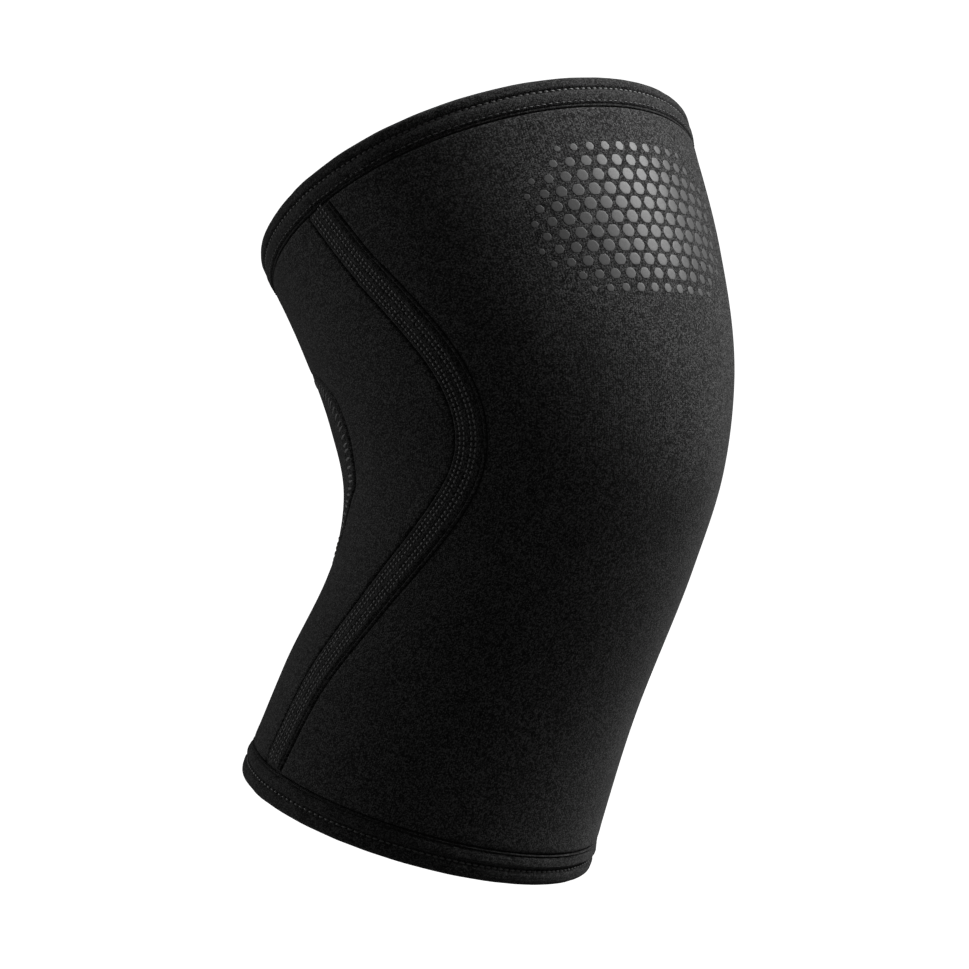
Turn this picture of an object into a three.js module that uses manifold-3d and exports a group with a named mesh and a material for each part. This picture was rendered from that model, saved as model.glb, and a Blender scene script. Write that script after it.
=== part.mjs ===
// Knee sleeve: a bent, hollow tube of padded cloth, in the form that it has on a leg. Millimetres, +Z up.
// The front of the knee faces -Y, the knee hollow faces +Y and the sides face -X and +X.
// The origin is the middle of the knee, on the line that the leg follows through the hollow.
import * as THREE from 'three';
import { mergeVertices } from 'three/addons/utils/BufferGeometryUtils.js';
import Module from 'manifold-3d';

// Driving dimensions of the whole sleeve
const SPAN = 233; // height from the middle of the lower rim to the middle of the upper rim
const KNEE_WIDTH = 129; // outside, from side to side at the knee
const KNEE_DEPTH = 145; // outside, from front to back at the knee
const WALL = 5; // thickness of the padded cloth

// Driving dimensions of the two flat bands over the seams
const BAND_WIDTH = 12;
const BAND_THICKNESS = 0.6;
const BAND_PROUD = 0.2; // how far a band stands out of the wall's face

// Driving dimensions of the folded hems round the rims
const TOP_HEM_DEPTH = 10; // from the rim to the hem's outer edge
const BOTTOM_HEM_DEPTH = 11.5;
const HEM_CLOTH = 1.2; // thickness of the binding
const HEM_PROUD = 0.5; // how far it stands out of the wall's outer face
const HEM_PROUD_INSIDE = 0.9; // how far it stands out of the wall's inner face
const HEM_ROUND = 1.8; // how far down the rim's rounding reaches
const HEM_EDGE = 0.5; // rounding of the binding's two edges

// Driving dimensions of the piece let into the knee hollow
const INSERT_HEIGHT = 86;
const INSERT_WIDTH = 144; // along the wall's face
const INSERT_THICKNESS = 3.6;
const INSERT_SUNK = 0.5; // how far its face lies below the wall's face

// Clearances between pieces that are sewn together
const CLEARANCE = 0.35;
const INSERT_SEAM = 0.5; // between the insert's edge and the edge of its opening
const STEP = 0.25; // width of the slope at the side of a recess
const RAMP = 1.2; // length over which a band dips under a hem
const CUT_PAST = 2; // how far the opening's cut runs past the wall's two faces

// Numbers of facets
const FRONT_COLUMNS = 20;
const REAR_COLUMNS = 18;
const WALL_ROWS = 20;
const RIM_STEPS = 6;
const INSERT_COLUMNS = 12;

// Sections from the lower rim to the upper rim. height is a share of SPAN. width, the full width, is a share of
// KNEE_WIDTH. shift, front and back are shares of KNEE_DEPTH: how far the leg's line lies behind the knee's, and
// how far the wall reaches in front of and behind that line. lean is the section's tilt, in degrees.
const SECTIONS = [
  { height: 0, shift: 0.405, width: 1.005, front: 0.47, back: 0.47, lean: -21 },
  { height: 0.2, shift: 0.26, width: 0.965, front: 0.475, back: 0.45, lean: -12 },
  { height: 0.4, shift: 0.06, width: 0.96, front: 0.465, back: 0.475, lean: -3 },
  { height: 0.52, shift: 0, width: 1, front: 0.5, back: 0.5, lean: 2 },
  { height: 0.64, shift: 0.005, width: 1.085, front: 0.535, back: 0.525, lean: 7.5 },
  { height: 0.82, shift: 0.06, width: 1.185, front: 0.535, back: 0.58, lean: 15.5 },
  { height: 1, shift: 0.18, width: 1.255, front: 0.55, back: 0.61, lean: 23.5 },
];
const KNEE_HEIGHT = 0.52; // where the origin lies, as a share of SPAN

// Middle line of a band: its angle from the front, in degrees, at shares of SPAN.
const BAND_LINE = [
  { height: 0, angle: 108.5 },
  { height: 0.12, angle: 105 },
  { height: 0.2, angle: 101.8 },
  { height: 0.28, angle: 96.3 },
  { height: 0.36, angle: 89.6 },
  { height: 0.44, angle: 79 },
  { height: 0.5, angle: 72 },
  { height: 0.56, angle: 69 },
  { height: 0.62, angle: 70 },
  { height: 0.68, angle: 74.4 },
  { height: 0.76, angle: 82.8 },
  { height: 0.84, angle: 91 },
  { height: 0.92, angle: 96.1 },
  { height: 1, angle: 100 },
];

// Outline of the insert from its lower to its upper end: how far up its half height, and how wide of its half width.
const INSERT_MIDDLE = 0.545; // height of its middle, as a share of SPAN
const INSERT_OUTLINE = [
  { up: -1, wide: 0.12 },
  { up: -0.96, wide: 0.3 },
  { up: -0.88, wide: 0.45 },
  { up: -0.76, wide: 0.6 },
  { up: -0.6, wide: 0.72 },
  { up: -0.44, wide: 0.83 },
  { up: -0.3, wide: 0.87 },
  { up: -0.24, wide: 0.895 },
  { up: -0.18, wide: 0.925 },
  { up: -0.13, wide: 0.96 },
  { up: -0.09, wide: 0.98 },
  { up: 0.06, wide: 0.98 },
  { up: 0.23, wide: 1 },
  { up: 0.42, wide: 0.98 },
  { up: 0.58, wide: 0.92 },
  { up: 0.74, wide: 0.8 },
  { up: 0.86, wide: 0.62 },
  { up: 0.95, wide: 0.38 },
  { up: 1, wide: 0.12 },
];

const DEGREE = Math.PI / 180;
const HALF_TURN = Math.PI;
const NUDGE = 1e-4; // step of the numeric slopes

// Levels of the pieces' faces, measured outwards from the wall's outer face
const BAND_FLOOR = BAND_PROUD - BAND_THICKNESS - CLEARANCE;
const HEM_FLOOR = HEM_PROUD - HEM_CLOTH - CLEARANCE;
const HEM_FLOOR_INSIDE = HEM_PROUD_INSIDE - HEM_CLOTH - CLEARANCE;
const TUCKED_FLOOR = HEM_FLOOR - BAND_THICKNESS - CLEARANCE;
const WALL_END = HEM_CLOTH + CLEARANCE; // from the rim to the end of the wall, inside the hem's fold
const BAND_DIPS = 1.5 * CLEARANCE; // from a hem's edge to where a band has dipped
const RECESS_DIPS = 3 * CLEARANCE; // from a hem's edge to where the recess below the band has dipped

// A smooth curve through the rows of a table, as a function of the key column.
function smooth(rows, key, value) {
  const slope = rows.map((row, i) => {
    const before = rows[i - 1] ?? row;
    const after = rows[i + 1] ?? row;
    const left = row[key] - before[key];
    const right = after[key] - row[key];
    const rise = left > 0 ? (row[value] - before[value]) / left : 0;
    const fall = right > 0 ? (after[value] - row[value]) / right : 0;
    return (rise * right + fall * left) / (left + right);
  });
  slope[0] = (rows[1][value] - rows[0][value]) / (rows[1][key] - rows[0][key]);
  const last = rows.length - 1;
  slope[last] = (rows[last][value] - rows[last - 1][value]) / (rows[last][key] - rows[last - 1][key]);
  return (x) => {
    let i = 0;
    while (i < last - 1 && x > rows[i + 1][key]) i += 1;
    const width = rows[i + 1][key] - rows[i][key];
    const t = (x - rows[i][key]) / width;
    const start = rows[i][value] * (1 + 2 * t) * (1 - t) ** 2 + slope[i] * width * t * (1 - t) ** 2;
    return start + rows[i + 1][value] * t * t * (3 - 2 * t) - slope[i + 1] * width * t * t * (1 - t);
  };
}

const shiftAt = smooth(SECTIONS, 'height', 'shift');
const widthAt = smooth(SECTIONS, 'height', 'width');
const frontAt = smooth(SECTIONS, 'height', 'front');
const backAt = smooth(SECTIONS, 'height', 'back');
const leanAt = smooth(SECTIONS, 'height', 'lean');
const bandAngleAt = smooth(BAND_LINE, 'height', 'angle');

// A point on the wall's outer face. angle runs from the front, over the -X side.
function facePoint(height, angle) {
  const reach = (Math.cos(angle) > 0 ? frontAt(height) : backAt(height)) * KNEE_DEPTH;
  const depth = -reach * Math.cos(angle);
  const lean = leanAt(height) * DEGREE;
  return new THREE.Vector3(
    (-widthAt(height) * KNEE_WIDTH * Math.sin(angle)) / 2,
    shiftAt(height) * KNEE_DEPTH + depth * Math.cos(lean),
    (height - KNEE_HEIGHT) * SPAN - depth * Math.sin(lean),
  );
}

// The face's direction and length per unit of height, and the same per radian of angle.
function upward(height, angle) {
  return facePoint(height + NUDGE, angle).sub(facePoint(height - NUDGE, angle)).divideScalar(2 * NUDGE);
}

function around(height, angle) {
  return facePoint(height, angle + NUDGE).sub(facePoint(height, angle - NUDGE)).divideScalar(2 * NUDGE);
}

// A point at a level above (positive) or below the wall's outer face.
function wallPoint(height, angle, level) {
  const outward = upward(height, angle).cross(around(height, angle)).normalize();
  return facePoint(height, angle).addScaledVector(outward, level);
}

// Rows give a height for each angle, and columns give an angle for each height.
function aboveBottom(distance) {
  return (angle) => distance / upward(0, angle).length();
}

function belowTop(distance) {
  return (angle) => 1 - distance / upward(1, angle).length();
}

function between(first, second, share) {
  return (x) => THREE.MathUtils.lerp(first(x), second(x), share);
}

// A column at a distance behind (positive) or in front of the middle line of the band on one side.
function besideBand(side, distance) {
  return (height) => {
    const angle = bandAngleAt(height) * DEGREE;
    const turn = ((bandAngleAt(height + NUDGE) - bandAngleAt(height - NUDGE)) * DEGREE) / (2 * NUDGE);
    const across = around(height, angle);
    const along = upward(height, angle).addScaledVector(across, turn).normalize();
    const width = across.clone().addScaledVector(along, -across.dot(along)).length();
    return side * (angle + distance / width);
  };
}

// Where a row meets a column.
function crossing(row, column) {
  let height = row(column(0.5));
  for (let round = 0; round < 4; round += 1) height = row(column(height));
  return [height, column(height)];
}

// A closed body from a grid of outer points and a grid of inner points, each given as rows of columns.
function slab(outer, inner) {
  const rows = outer.length;
  const columns = outer[0].length;
  const positions = [...outer.flat(), ...inner.flat()].flatMap((point) => point.toArray());
  const faces = [];
  const front = (i, j) => i * columns + j;
  const rear = (i, j) => rows * columns + front(i, j);
  const quad = (a, b, c, d) => faces.push(a, b, c, a, c, d);
  for (let i = 0; i < rows - 1; i += 1) {
    for (let j = 0; j < columns - 1; j += 1) {
      quad(front(i, j), front(i + 1, j), front(i + 1, j + 1), front(i, j + 1));
      quad(rear(i, j), rear(i, j + 1), rear(i + 1, j + 1), rear(i + 1, j));
    }
    quad(front(i, 0), rear(i, 0), rear(i + 1, 0), front(i + 1, 0));
    quad(front(i, columns - 1), front(i + 1, columns - 1), rear(i + 1, columns - 1), rear(i, columns - 1));
  }
  for (let j = 0; j < columns - 1; j += 1) {
    quad(front(0, j), front(0, j + 1), rear(0, j + 1), rear(0, j));
    quad(front(rows - 1, j), rear(rows - 1, j), rear(rows - 1, j + 1), front(rows - 1, j + 1));
  }
  return meshOf(positions, faces);
}

// A closed ring from a closed outline of [row, level] pairs, carried round the sleeve over the panels' columns.
function ring(outline) {
  const columns = [...frontColumns(), ...rearColumns().slice(1, -1)];
  const positions = columns.flatMap(({ column }) =>
    outline.flatMap(([row, level]) => wallPoint(...crossing(row, column), level).toArray()),
  );
  const faces = [];
  const points = outline.length;
  for (let j = 0; j < columns.length; j += 1) {
    const next = ((j + 1) % columns.length) * points;
    for (let i = 0; i < points; i += 1) {
      const up = (i + 1) % points;
      faces.push(j * points + i, j * points + up, next + up, j * points + i, next + up, next + i);
    }
  }
  return meshOf(positions, faces);
}

function meshOf(positions, faces) {
  const geometry = new THREE.BufferGeometry();
  geometry.setAttribute('position', new THREE.Float32BufferAttribute(positions, 3));
  geometry.setIndex(faces);
  return geometry;
}

// Rows of a wall panel. hem marks the stretch inside a hem, and dip the stretch where a band lies deeper.
function panelRows() {
  const end = (rim, depth) => [
    { row: rim(WALL_END), hem: true, dip: true },
    { row: rim(depth + CLEARANCE), hem: true, dip: true },
    { row: rim(depth + CLEARANCE + STEP), hem: false, dip: true },
    { row: rim(depth + RECESS_DIPS), hem: false, dip: true },
    { row: rim(depth + RECESS_DIPS + RAMP), hem: false, dip: false },
  ];
  return [
    ...end(aboveBottom, BOTTOM_HEM_DEPTH),
    ...middleRows().map((row) => ({ row, hem: false, dip: false })),
    ...end(belowTop, TOP_HEM_DEPTH).reverse(),
  ];
}

// Evenly spread rows between the two hems.
function middleRows() {
  const first = aboveBottom(BOTTOM_HEM_DEPTH + RECESS_DIPS + RAMP);
  const last = belowTop(TOP_HEM_DEPTH + RECESS_DIPS + RAMP);
  return Array.from({ length: WALL_ROWS - 1 }, (_, i) => between(first, last, (i + 1) / WALL_ROWS));
}

// Columns of a wall panel from one band's middle line to the other's. band marks the recess that a band lies in.
function panelColumns(start, end, count) {
  const recess = BAND_WIDTH / 2 + CLEARANCE;
  const inside = Array.from({ length: count - 1 }, (_, i) => (i + 1) / count);
  return [
    { column: start(CLEARANCE / 2), band: true },
    { column: start(recess), band: true },
    { column: start(recess + STEP), band: false },
    ...inside.map((share) => ({ column: between(start(recess + STEP), end(recess + STEP), share), band: false })),
    { column: end(recess + STEP), band: false },
    { column: end(recess), band: true },
    { column: end(CLEARANCE / 2), band: true },
  ];
}

// Level of a panel's outer face, with its recesses for the bands and the hems.
function outerLevel({ hem, dip }, { band }) {
  if (band) return dip ? TUCKED_FLOOR : BAND_FLOOR;
  return hem ? HEM_FLOOR : 0;
}

function panel(columns) {
  const rows = panelRows();
  const face = (level) =>
    rows.map((row) => columns.map((column) => wallPoint(...crossing(row.row, column.column), level(row, column))));
  return slab(face(outerLevel), face((row) => -WALL - (row.hem ? HEM_FLOOR_INSIDE : 0)));
}

function frontColumns() {
  const start = (distance) => besideBand(-1, -distance);
  const end = (distance) => besideBand(1, -distance);
  return panelColumns(start, end, FRONT_COLUMNS);
}

function rearColumns() {
  const start = (distance) => besideBand(1, distance);
  const end = (distance) => (height) => 2 * HALF_TURN + besideBand(-1, distance)(height);
  return panelColumns(start, end, REAR_COLUMNS);
}

// A band: a thin tape on the seam, whose ends dip under the hems.
function sideBand(side) {
  const end = (rim, depth) => [
    { row: rim(WALL_END), dip: true },
    { row: rim(depth + BAND_DIPS), dip: true },
    { row: rim(depth + BAND_DIPS + RAMP), dip: false },
  ];
  const rows = [
    ...end(aboveBottom, BOTTOM_HEM_DEPTH),
    ...middleRows().map((row) => ({ row, dip: false })),
    ...end(belowTop, TOP_HEM_DEPTH).reverse(),
  ];
  const columns = [-1, 0, 1].map((edge) => besideBand(side, (side * edge * BAND_WIDTH) / 2));
  const face = (level) =>
    rows.map(({ row, dip }) => columns.map((column) => wallPoint(...crossing(row, column), level(dip))));
  const outer = (dip) => (dip ? HEM_FLOOR : BAND_PROUD);
  return slab(face(outer), face((dip) => outer(dip) - BAND_THICKNESS));
}

// A hem: a binding folded round the rim, in section a U whose fold is rounded.
function hem(rim, depth) {
  const middle = (HEM_PROUD - WALL - HEM_PROUD_INSIDE) / 2;
  const half = HEM_PROUD - middle;
  const outer = HEM_PROUD;
  const inner = -WALL - HEM_PROUD_INSIDE;
  const outline = [
    [depth - HEM_EDGE, outer],
    [depth, outer - HEM_EDGE],
    [depth, outer - HEM_CLOTH],
    [HEM_CLOTH, outer - HEM_CLOTH],
    [HEM_CLOTH, inner + HEM_CLOTH],
    [depth, inner + HEM_CLOTH],
    [depth, inner + HEM_EDGE],
    [depth - HEM_EDGE, inner],
  ];
  for (let step = 0; step <= RIM_STEPS; step += 1) {
    const turn = (HALF_TURN * step) / RIM_STEPS;
    outline.push([HEM_ROUND * (1 - Math.sin(turn)), middle - half * Math.cos(turn)]);
  }
  return outline.map(([distance, level]) => [rim(distance), level]);
}

// The insert's outline as a grid, between two levels and set in by a clearance along its edge.
function insertBody(outerFace, innerFace, setIn) {
  const upLength = upward(INSERT_MIDDLE, HALF_TURN).length();
  const aroundLength = around(INSERT_MIDDLE, HALF_TURN).length();
  const halfHeight = INSERT_HEIGHT / 2;
  const scale = 1 - setIn / halfHeight;
  const face = (level) =>
    INSERT_OUTLINE.map(({ up, wide }) =>
      Array.from({ length: INSERT_COLUMNS + 1 }, (_, j) => {
        const across = (2 * j) / INSERT_COLUMNS - 1;
        const height = INSERT_MIDDLE + (up * halfHeight * scale) / upLength;
        const angle = HALF_TURN + (across * wide * INSERT_WIDTH * scale) / 2 / aroundLength;
        return wallPoint(height, angle, level);
      }),
    );
  return slab(face(outerFace), face(innerFace));
}

// Cuts one closed body out of another.
const wasm = await Module();
wasm.setup();

function solidOf(geometry) {
  const merged = mergeVertices(geometry);
  return new wasm.Manifold(
    new wasm.Mesh({
      numProp: 3,
      vertProperties: new Float32Array(merged.attributes.position.array),
      triVerts: new Uint32Array(merged.index.array),
    }),
  );
}

function cut(geometry, tool) {
  const result = solidOf(geometry).subtract(solidOf(tool)).getMesh();
  return meshOf(Array.from(result.vertProperties), Array.from(result.triVerts));
}

const CLOTH = { color: 0x17171a, roughness: 0.92, metalness: 0 };
const TAPE = { color: 0x1b1b1e, roughness: 0.85, metalness: 0 };
const BINDING = { color: 0x19191c, roughness: 0.9, metalness: 0 };
const MESH_CLOTH = { color: 0x131315, roughness: 0.95, metalness: 0 };

function named(name, geometry, look) {
  const mesh = new THREE.Mesh(geometry, new THREE.MeshStandardMaterial(look));
  mesh.name = name;
  return mesh;
}

const insert = insertBody(-INSERT_SUNK, -INSERT_SUNK - INSERT_THICKNESS, INSERT_SEAM);
const opening = insertBody(CUT_PAST, -WALL - CUT_PAST, 0);
const sleeve = new THREE.Group();
sleeve.add(
  named('front_panel', panel(frontColumns()), CLOTH),
  named('rear_panel', cut(panel(rearColumns()), opening), CLOTH),
  named('knee_hollow_insert', insert, MESH_CLOTH),
  named('side_band_left', sideBand(1), TAPE),
  named('side_band_right', sideBand(-1), TAPE),
  named('top_hem', ring(hem(belowTop, TOP_HEM_DEPTH).reverse()), BINDING),
  named('bottom_hem', ring(hem(aboveBottom, BOTTOM_HEM_DEPTH)), BINDING),
);

export default sleeve;
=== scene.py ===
"""Knee sleeve in its worn form: padded panels, seam bands, an insert in the knee hollow and folded hems.

Lengths are millimetres in the frame's axes, and metres once they reach a mesh. The sleeve's form follows
the same sections, band line and insert outline as its solids, so every piece lies where its solid lies.

A place on the sleeve is a height, as a share of the way from the lower to the upper rim, and an angle round
the sleeve in radians. A level is a distance outward from the wall's plain outer face.
"""

import math

import bmesh
import bpy
import numpy as np
from mathutils import Matrix, Vector


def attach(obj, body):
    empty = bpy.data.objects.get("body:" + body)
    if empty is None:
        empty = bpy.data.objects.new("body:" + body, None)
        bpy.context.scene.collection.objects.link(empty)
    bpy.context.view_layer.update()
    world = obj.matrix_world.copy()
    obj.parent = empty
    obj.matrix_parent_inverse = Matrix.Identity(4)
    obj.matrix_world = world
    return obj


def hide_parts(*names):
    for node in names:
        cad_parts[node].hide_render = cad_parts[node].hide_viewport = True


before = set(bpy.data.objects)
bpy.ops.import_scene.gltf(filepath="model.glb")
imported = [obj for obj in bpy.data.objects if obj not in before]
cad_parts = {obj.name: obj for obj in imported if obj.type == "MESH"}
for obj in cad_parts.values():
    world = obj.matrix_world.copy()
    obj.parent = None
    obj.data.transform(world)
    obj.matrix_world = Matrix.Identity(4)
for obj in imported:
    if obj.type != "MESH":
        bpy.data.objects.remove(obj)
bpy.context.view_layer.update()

MM = 0.001

# The sleeve as a whole
SPAN = 233
KNEE_WIDTH = 129
KNEE_DEPTH = 145
WALL = 5
KNEE_HEIGHT = 0.52

# Seam bands, hems and the insert
BAND_WIDTH = 12
TOP_HEM_DEPTH = 12
BOTTOM_HEM_DEPTH = 12.5
HEM_CLOTH = 1.2
HEM_PROUD_INSIDE = 0.9
INSERT_HEIGHT = 86
INSERT_WIDTH = 144
INSERT_THICKNESS = 3.6
INSERT_SUNK = 0.1
INSERT_SEAM = 0.14
CLEARANCE = 0.35
WALL_END = HEM_CLOTH + CLEARANCE
HEM_FLOOR = -1.9  # level of a panel's face inside a hem
BAND_FLOOR = -1.5  # level of a panel's face below a band

# Sections: share of SPAN, then shift, width, front and back as shares, and lean in degrees
SECTIONS = np.array([
    (0, 0.405, 1.005, 0.47, 0.47, -21),
    (0.2, 0.26, 0.965, 0.475, 0.45, -12),
    (0.4, 0.06, 0.96, 0.465, 0.475, -3),
    (0.52, 0, 1, 0.5, 0.5, 2),
    (0.64, 0.005, 1.085, 0.535, 0.525, 7.5),
    (0.82, 0.06, 1.185, 0.535, 0.58, 15.5),
    (1, 0.18, 1.255, 0.55, 0.61, 23.5),
])
# Middle line of a band: share of SPAN and angle from the front in degrees
BAND_LINE = np.array([
    (0, 108.5), (0.12, 105), (0.2, 101.8), (0.28, 96.3), (0.36, 89.6), (0.44, 79), (0.5, 72),
    (0.56, 69), (0.62, 70), (0.68, 74.4), (0.76, 82.8), (0.84, 91), (0.92, 96.1), (1, 100),
])
# Outline of the insert: how far up its half height, and how wide of its half width
INSERT_MIDDLE = 0.545
INSERT_OUTLINE = np.array([
    (-1, 0.12), (-0.96, 0.3), (-0.88, 0.45), (-0.76, 0.6), (-0.6, 0.72), (-0.44, 0.83), (-0.3, 0.87),
    (-0.24, 0.895), (-0.18, 0.925), (-0.13, 0.96), (-0.09, 0.98), (0.06, 0.98), (0.23, 1), (0.42, 0.98),
    (0.58, 0.92), (0.74, 0.8), (0.86, 0.62), (0.95, 0.38), (1, 0.12),
])
NUDGE = 1e-4


def smooth(keys, values):
    """A smooth curve through the rows of a table."""
    keys = np.asarray(keys, float)
    values = np.asarray(values, float)
    slope = np.gradient(values, keys)

    def at(x):
        i = np.clip(np.searchsorted(keys, x) - 1, 0, len(keys) - 2)
        width = keys[i + 1] - keys[i]
        t = (x - keys[i]) / width
        start = values[i] * (1 + 2 * t) * (1 - t) ** 2 + slope[i] * width * t * (1 - t) ** 2
        return start + values[i + 1] * t * t * (3 - 2 * t) - slope[i + 1] * width * t * t * (1 - t)

    return at


shift_at, width_at, front_at, back_at, lean_at = (
    smooth(SECTIONS[:, 0], SECTIONS[:, k]) for k in range(1, 6)
)
band_table_at = smooth(BAND_LINE[:, 0], BAND_LINE[:, 1])
BAND_BLEND = np.array([-0.024, -0.012, 0, 0.012, 0.024])  # heights over which a band's line is evened out


def band_degrees_at(height):
    """Angle of a band's middle line, evened out over a short length so that it bends without corners."""
    return sum(band_table_at(height + shift) for shift in BAND_BLEND) / len(BAND_BLEND)


def face(height, angle):
    """A point on the wall's outer face; angle runs from the front, over the -X side."""
    reach = np.where(np.cos(angle) > 0, front_at(height), back_at(height)) * KNEE_DEPTH
    depth = -reach * np.cos(angle)
    lean = np.radians(lean_at(height))
    return np.stack([
        -width_at(height) * KNEE_WIDTH * np.sin(angle) / 2,
        shift_at(height) * KNEE_DEPTH + depth * np.cos(lean),
        (height - KNEE_HEIGHT) * SPAN - depth * np.sin(lean),
    ], axis=-1)


def upward(height, angle):
    """How far the face's point moves for a step in height."""
    return (face(height + NUDGE, angle) - face(height - NUDGE, angle)) / (2 * NUDGE)


def around(height, angle):
    """How far the face's point moves for a step in angle."""
    return (face(height, angle + NUDGE) - face(height, angle - NUDGE)) / (2 * NUDGE)


def unit(v):
    return v / np.linalg.norm(v, axis=-1, keepdims=True)


def length(v):
    return np.linalg.norm(v, axis=-1)


def outward(height, angle):
    return unit(np.cross(upward(height, angle), around(height, angle)))


def wall(height, angle, level):
    """A point at a level above or below the wall's outer face."""
    return face(height, angle) + outward(height, angle) * np.asarray(level)[..., None]


def from_bottom(height, angle):
    """Distance from the lower rim of a point near it."""
    return height * length(upward(np.zeros_like(angle), angle))


def from_top(height, angle):
    """Distance from the upper rim of a point near it."""
    return (1 - height) * length(upward(np.ones_like(angle), angle))


def bottom_height(distance, angle):
    return distance / length(upward(np.zeros_like(angle), angle))


def top_height(distance, angle):
    return 1 - distance / length(upward(np.ones_like(angle), angle))


def across_band(height):
    """Millimetres across the band for each radian round the sleeve, square to the band's line."""
    angle = np.radians(band_degrees_at(height))
    turn = np.radians(band_degrees_at(height + NUDGE) - band_degrees_at(height - NUDGE)) / (2 * NUDGE)
    across = around(height, angle)
    along = unit(upward(height, angle) + across * turn[..., None])
    return length(across - along * (across * along).sum(-1, keepdims=True))


def beside_band(side, distance, height):
    """Angle of the line at a distance behind (positive) or in front of one band's middle line."""
    return side * (np.radians(band_degrees_at(height)) + distance / across_band(height))


def band_distance(height, angle):
    """How far a point lies behind (positive) or in front of the nearer band's middle line."""
    turned = np.abs((angle + math.pi) % (2 * math.pi) - math.pi)
    return (turned - np.radians(band_degrees_at(height))) * across_band(height)


RIPPLE_WAVES = 7


def ripple(x, y, seed):
    """A smooth uneven pattern between about -1 and 1, the same each time."""
    rng = np.random.default_rng(seed)
    total = np.zeros(np.broadcast(x, y).shape)
    for _ in range(RIPPLE_WAVES):
        turn = rng.uniform(0, 2 * math.pi)
        size = rng.uniform(0.6, 1.7)
        start = rng.uniform(0, 2 * math.pi)
        total = total + np.sin((x * math.cos(turn) + y * math.sin(turn)) * size + start)
    return total / (RIPPLE_WAVES / 2)


# Level of the cloth beside a seam, by the distance from the seam's edge
SEAM_START = 0.12
BESIDE_SEAM = smooth(
    [-1, SEAM_START, 0.2, 0.3, 0.48, 0.8, 1.4, 3, 6, 9],
    [BAND_FLOOR, BAND_FLOOR, -1.0, -0.6, -0.3, -0.1, 0.02, 0.08, 0.02, 0],
)
# Level across a band, by the distance behind its middle line
BAND_TOP = smooth(
    [-6, -5.9, -5.5, -5.15, -4.95, -4.6, -4, -3, -2.2, -1.4,
     -0.6, 0.7, 1.4, 2.2, 3, 3.8, 4.8, 5.4, 5.8, 6],
    [-0.8, -0.15, 0.42, 0.12, -0.4, -0.3, 0.1, 0.28, 0.08, 0.22,
     0.08, 0.36, 0.3, 0.1, 0.22, 0.08, 0.3, 0.2, -0.2, -0.8],
)
BAND_ROWS = (-2.2, -0.6, 2.2, 3.8)  # rows of stitches, by their distance behind the band's middle line
BAND_SEAM_BEHIND = 0.3  # room between a band and the rear panel

# Slight unevenness of the panels: how high puckers beside a band, gathers beside a hem and broad swells are
PUCKER = 0.07
GATHER = 0.06
SWELL = 0.12


def seam_drop(edge):
    return np.where(edge < SEAM_START, BAND_FLOOR, BESIDE_SEAM(np.clip(edge, -0.9, 8.9)))


def past_hem(height, angle):
    """Distance from the nearer hem's edge, negative inside the hem."""
    return np.minimum(from_top(height, angle) - TOP_HEM_DEPTH, from_bottom(height, angle) - BOTTOM_HEM_DEPTH)


def ease(t):
    """A smooth step from 0 to 1."""
    t = np.clip(t, 0, 1)
    return t * t * (3 - 2 * t)


def cloth_level(height, angle):
    """Level of the two panels' outer face: rounded down beside bands and hems, with slight puckers."""
    across = band_distance(height, angle)
    beside = np.abs(across) - BAND_WIDTH / 2 - np.where(across > 0, BAND_SEAM_BEHIND, 0)
    at_hem = past_hem(height, angle)
    edge = np.minimum(beside, at_hem - 0.1)
    level = seam_drop(edge)
    along = height * SPAN
    girth = angle * KNEE_WIDTH / 2
    pucker = ripple(along / 2.2, girth / 9, 3) * PUCKER * np.exp(-np.maximum(beside, 0) / 5)
    gather = ripple(girth / 2.6, along / 9, 4) * GATHER * np.exp(-np.maximum(at_hem, 0) / 6)
    swell = ripple(along / 17, girth / 15, 5) * SWELL
    eased = np.clip(edge / 1.5, 0, 1)
    level = level + (pucker + gather + swell) * eased
    return np.where(at_hem < 0, np.minimum(level, HEM_FLOOR), level)


def link(obj):
    bpy.context.scene.collection.objects.link(obj)
    return obj


def new_object(name, points, faces, place=None):
    """A mesh object from points in millimetres. place is each point's place on its cloth, for the weave."""
    mesh = bpy.data.meshes.new(name)
    points = np.asarray(points, float).reshape(-1, 3) * MM
    mesh.from_pydata(points.tolist(), [], [list(f) for f in faces])
    if place is not None:
        attribute = mesh.attributes.new("cloth_place", "FLOAT_VECTOR", "POINT")
        attribute.data.foreach_set("vector", np.asarray(place, np.float32).reshape(-1, 3).ravel())
    mesh.polygons.foreach_set("use_smooth", [True] * len(mesh.polygons))
    mesh.validate()
    return link(bpy.data.objects.new(name, mesh))


def grid_faces(rows, columns, start=0, wrap_rows=False, wrap_columns=False, flip=False):
    """Quads of a grid of points that lie row by row."""
    i = np.arange(rows if wrap_rows else rows - 1)[:, None]
    j = np.arange(columns if wrap_columns else columns - 1)[None, :]
    up = (i + 1) % rows
    on = (j + 1) % columns
    corners = np.broadcast_arrays(i * columns + j, up * columns + j, up * columns + on, i * columns + on)
    quads = np.stack(corners, -1).reshape(-1, 4) + start
    return quads[:, ::-1] if flip else quads


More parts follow.
